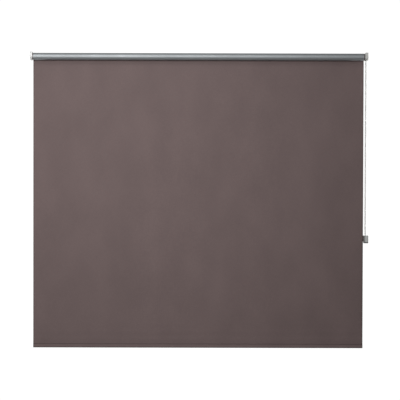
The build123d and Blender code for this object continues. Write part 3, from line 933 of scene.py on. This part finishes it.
@dataclass
class BeadChain:
    """The endless chain: moulded beads on a thin cord, round the sprocket and the idler."""

    beads: int = 334
    pitch: float = 6 * MM
    bead_radius: float = 2.25 * MM
    bead_length_share: float = 0.97
    bead_fullness: float = 0.9
    bead_around: int = 14
    bead_steps: int = 8
    cord_radius: float = 0.55 * MM
    cord_around: int = 8
    wheel_radius: float = 11.46 * MM
    axis_y: float = -36.0 * MM
    chain_x: float = 889.0 * MM
    low_wheel_z: float = -966.0 * MM
    corner: float = 4.75 * MM
    straight_from: float = 27.0 * MM
    line_steps: int = 40

    def route(self) -> list[Vector]:
        """Return the points that draw the line: corners round each wheel, ends of the strands."""
        r, inner, reach, low = self.wheel_radius, self.corner, self.straight_from, self.low_wheel_z
        half = [(0, r), (-inner, r), (-r, inner), (-r, -reach),
                (-r, low + reach), (-r, low - inner), (-inner, low - r)]
        other = [(-y, z) for y, z in reversed(half)]
        return [Vector((self.chain_x, self.axis_y + y, z)) for y, z in half + other]

    def line(self) -> list[Vector]:
        """Return the chain's smooth line, read from a spline with no thickness."""
        curve = bpy.data.curves.new("chain_line", "CURVE")
        curve.dimensions = "3D"
        spline = curve.splines.new("NURBS")
        points = self.route()
        spline.points.add(len(points) - 1)
        for slot, point in zip(spline.points, points):
            slot.co = (*point, 1.0)
        spline.order_u = 3
        spline.use_endpoint_u = True
        spline.resolution_u = self.line_steps
        holder = bpy.data.objects.new("chain_line", curve)
        bpy.context.scene.collection.objects.link(holder)
        mesh = bpy.data.meshes.new_from_object(holder)
        found = [v.co.copy() for v in mesh.vertices]
        bpy.data.objects.remove(holder)
        bpy.data.curves.remove(curve)
        bpy.data.meshes.remove(mesh)
        return found

    def build(self) -> None:
        line = self.line()
        lengths = [0.0]
        for a, b in zip(line, line[1:]):
            lengths.append(lengths[-1] + (b - a).length)
        shape = Shape()
        self.core(shape, line)
        for i in range(self.beads):
            self.bead(shape, *self.along(line, lengths, lengths[-1] * (i + 0.5) / self.beads))
        piece = shape.build("bead_chain_beads", (BEAD_PLASTIC,), sharp=180)
        settle(piece, Body.FIXED, "chain_plastic", "bead_chain")

    def along(self, line: list[Vector], lengths: list[float],
              distance: float) -> tuple[Vector, Vector]:
        """Return the point at a distance along the line, and the direction there."""
        k = next(i for i, length in enumerate(lengths) if length >= distance)
        share = (distance - lengths[k - 1]) / (lengths[k] - lengths[k - 1])
        return line[k - 1].lerp(line[k], share), (line[k] - line[k - 1]).normalized()

    def ring(self, centre: Vector, ahead: Vector, radius: float, count: int) -> list[Vector]:
        """Return a ring of points across the chain's direction, which stays in the YZ plane."""
        side = Vector((1, 0, 0))
        out = ahead.cross(side)
        turns = [math.tau * i / count for i in range(count)]
        return [centre + (side * math.cos(a) + out * math.sin(a)) * radius for a in turns]

    def core(self, shape: Shape, line: list[Vector]) -> None:
        """Add the cord between the beads."""
        rows = []
        for i, point in enumerate(line):
            ahead = (line[min(i + 1, len(line) - 1)] - line[max(i - 1, 0)]).normalized()
            rows.append(shape.row(self.ring(point, ahead, self.cord_radius, self.cord_around)))
        for a, b in zip(rows, rows[1:]):
            shape.join(b, a, closed=True)

    def bead(self, shape: Shape, centre: Vector, ahead: Vector) -> None:
        """Add one bead, a little flattened where the cord passes through."""
        rows = []
        for k in range(1, self.bead_steps):
            angle = math.pi * k / self.bead_steps
            radius = self.bead_radius * math.sin(angle) ** self.bead_fullness
            middle = centre - ahead * self.bead_radius * self.bead_length_share * math.cos(angle)
            rows.append(shape.row(self.ring(middle, ahead, radius, self.bead_around)))
        for a, b in zip(rows, rows[1:]):
            shape.join(b, a, closed=True)
        shape.face(rows[0])
        shape.face(tuple(reversed(rows[-1])))


@dataclass
class Tensioner:
    """The box on the wall that holds the chain down."""

    def build(self) -> None:
        """Dress its parts."""
        dress({
            "tensioner_base": TENSIONER_BASE,
            "tensioner_housing": TENSIONER_SHELL,
            "tensioner_cover": TENSIONER_LID,
            "tensioner_cover_screws": PIN_METAL,
            "tensioner_wheel": PALE_BEARING,
            "tensioner_axle": PIN_METAL,
        })


@dataclass(frozen=True)
class Lamp:
    """One soft square light."""

    name: str
    place: Spot
    aim: Spot
    size: float
    watts: float
    spread: float = 180.0

    def hang(self) -> None:
        """Hang it at its place, pointing at its aim."""
        data = bpy.data.lights.new(self.name, "AREA")
        data.shape = "SQUARE"
        data.size = self.size
        data.energy = self.watts
        data.spread = math.radians(self.spread)
        lamp = bpy.data.objects.new(self.name, data)
        lamp.location = self.place
        beam = Vector(self.aim) - Vector(self.place)
        lamp.rotation_euler = beam.to_track_quat("-Z", "Y").to_euler()
        bpy.context.scene.collection.objects.link(lamp)


LAMPS = (
    Lamp("key", (-1.4, -4.5, 0.4), (-0.46, 0, -0.42), 1.8, 21, spread=70),
    Lamp("top", (-0.9, -2.9, 2.5), (-0.3, 0, -0.5), 1.4, 7.5, spread=90),
    Lamp("fill", (0.8, -2.7, -0.3), (0.3, 0, -0.3), 0.8, 1),
    Lamp("back", (0.8, 3.2, -0.3), (0, 0, -0.75), 2.4, 25, spread=110),
    Lamp("side_left", (-4.0, 1.4, -1.2), (-0.9, 0, -0.1), 1.2, 24, spread=50),
    Lamp("side_right", (4.0, 1.4, -1.2), (0.9, 0, -0.1), 1.2, 24, spread=50),
)


@dataclass
class Studio:
    """A pale floor, a white surround, soft lights and the camera."""

    distance: float = 6.0
    pitch_down: float = 0.8  # degrees
    roll: float = 0.145  # degrees
    field: float = 2.1362  # metres seen across, at the aim
    aim: Spot = (0.0065, -0.036, -0.7637)
    sensor: float = 36.0
    floor_z: float = -2.35
    floor_x: tuple[float, ...] = (-4, 0, 4)
    floor_y: tuple[float, ...] = (-5, -1, 2)
    floor_colour: Colour = (0.80, 0.80, 0.79)
    lit: float = 0.10
    seen: float = 1.05

    def build(self) -> None:
        """Make them all."""
        self.floor()
        self.surround()
        for lamp in LAMPS:
            lamp.hang()
        self.camera()

    def floor(self) -> None:
        """The floor, with a faint grain."""
        shape = Shape()
        rows = [shape.row([Vector((x, y, self.floor_z)) for x in self.floor_x])
                for y in self.floor_y]
        for a, b in zip(rows, rows[1:]):
            shape.join(a, b)
        shape.build("floor", (PaleFloor("pale_floor", self.floor_colour, 0.7),))

    def surround(self) -> None:
        """A white surround that lights the blind less than it looks."""
        world = bpy.data.worlds.new("surround")
        world.use_nodes = True
        nodes, links = world.node_tree.nodes, world.node_tree.links
        lit, seen = nodes["Background"], nodes.new("ShaderNodeBackground")
        lit.inputs["Color"].default_value = (0.96, 0.98, 1.0, 1.0)
        lit.inputs["Strength"].default_value = self.lit
        seen.inputs["Color"].default_value = (1.0, 1.0, 1.0, 1.0)
        seen.inputs["Strength"].default_value = self.seen
        path, mix = nodes.new("ShaderNodeLightPath"), nodes.new("ShaderNodeMixShader")
        links.new(path.outputs["Is Camera Ray"], mix.inputs[0])
        links.new(lit.outputs[0], mix.inputs[1])
        links.new(seen.outputs[0], mix.inputs[2])
        links.new(mix.outputs[0], nodes["World Output"].inputs["Surface"])
        bpy.context.scene.world = world
        bpy.context.scene.view_settings.view_transform = "Standard"

    def camera(self) -> None:
        """Stand the camera in front of the blind."""
        data = bpy.data.cameras.new("camera")
        data.sensor_width = self.sensor
        data.lens = self.sensor * self.distance / self.field
        camera = bpy.data.objects.new("camera", data)
        tilt = math.radians(self.pitch_down)
        back = Vector((0, -math.cos(tilt), math.sin(tilt)))
        camera.location = Vector(self.aim) + back * self.distance
        turn = (-back).to_track_quat("-Z", "Y").to_matrix().to_4x4()
        twist = turn.Rotation(math.radians(self.roll), 4, Vector((0, 0, 1)))
        camera.rotation_euler = (turn @ twist).to_euler()
        bpy.context.scene.collection.objects.link(camera)
        bpy.context.scene.camera = camera


def main() -> None:
    """Build the blind and its studio."""
    logging.basicConfig(level=logging.INFO, format="%(name)s %(message)s")
    for part in (Studio(), BeadChain(), Roller(), Hem(), HangingCloth(), Brackets(), Tensioner()):
        LOG.info("building %s", type(part).__name__)
        part.build()


if __name__ == "__main__":
    main()
